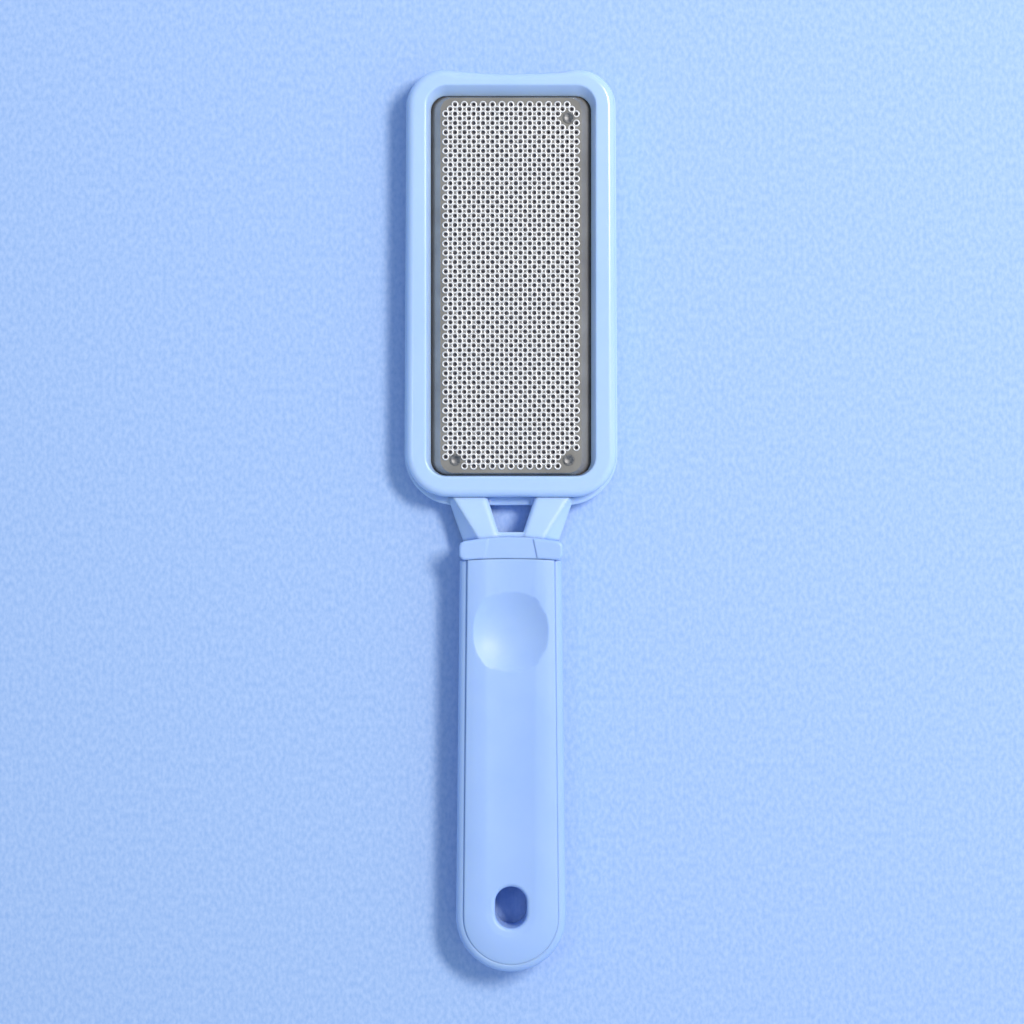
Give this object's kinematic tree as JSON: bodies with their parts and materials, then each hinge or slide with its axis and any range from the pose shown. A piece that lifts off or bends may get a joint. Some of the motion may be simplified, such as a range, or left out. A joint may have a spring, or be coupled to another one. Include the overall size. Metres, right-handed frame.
{
  "type": "foot file",
  "caption": "Manual foot file: perforated steel rasp plate in a raised plastic frame, on a two-strut neck with a hollow grip that has a thumb dish and a hang hole.",
  "frame": {"origin": "middle of the footprint, on the surface that the flat back of the head lies on", "axes": "+Y along the tool towards the rasp head, +Z out of the rasp face, X across"},
  "size_m": [0.0628, 0.265, 0.0152],
  "materials": {
    "plastic_frame": "gloss, slightly translucent",
    "plastic_grip": "gloss, slightly translucent",
    "steel": "bright punched stainless sheet",
    "rivet_steel": "dull dark steel"
  },
  "bodies": {
    "root": {"head_frame": "plastic_frame", "front_bezel": "plastic_frame", "rasp_plate": "steel", "plate_rivets": "rivet_steel", "neck_collar": "plastic_grip", "grip_shell": "plastic_grip", "grip_cover": "plastic_grip"}
  },
  "joints": []
}
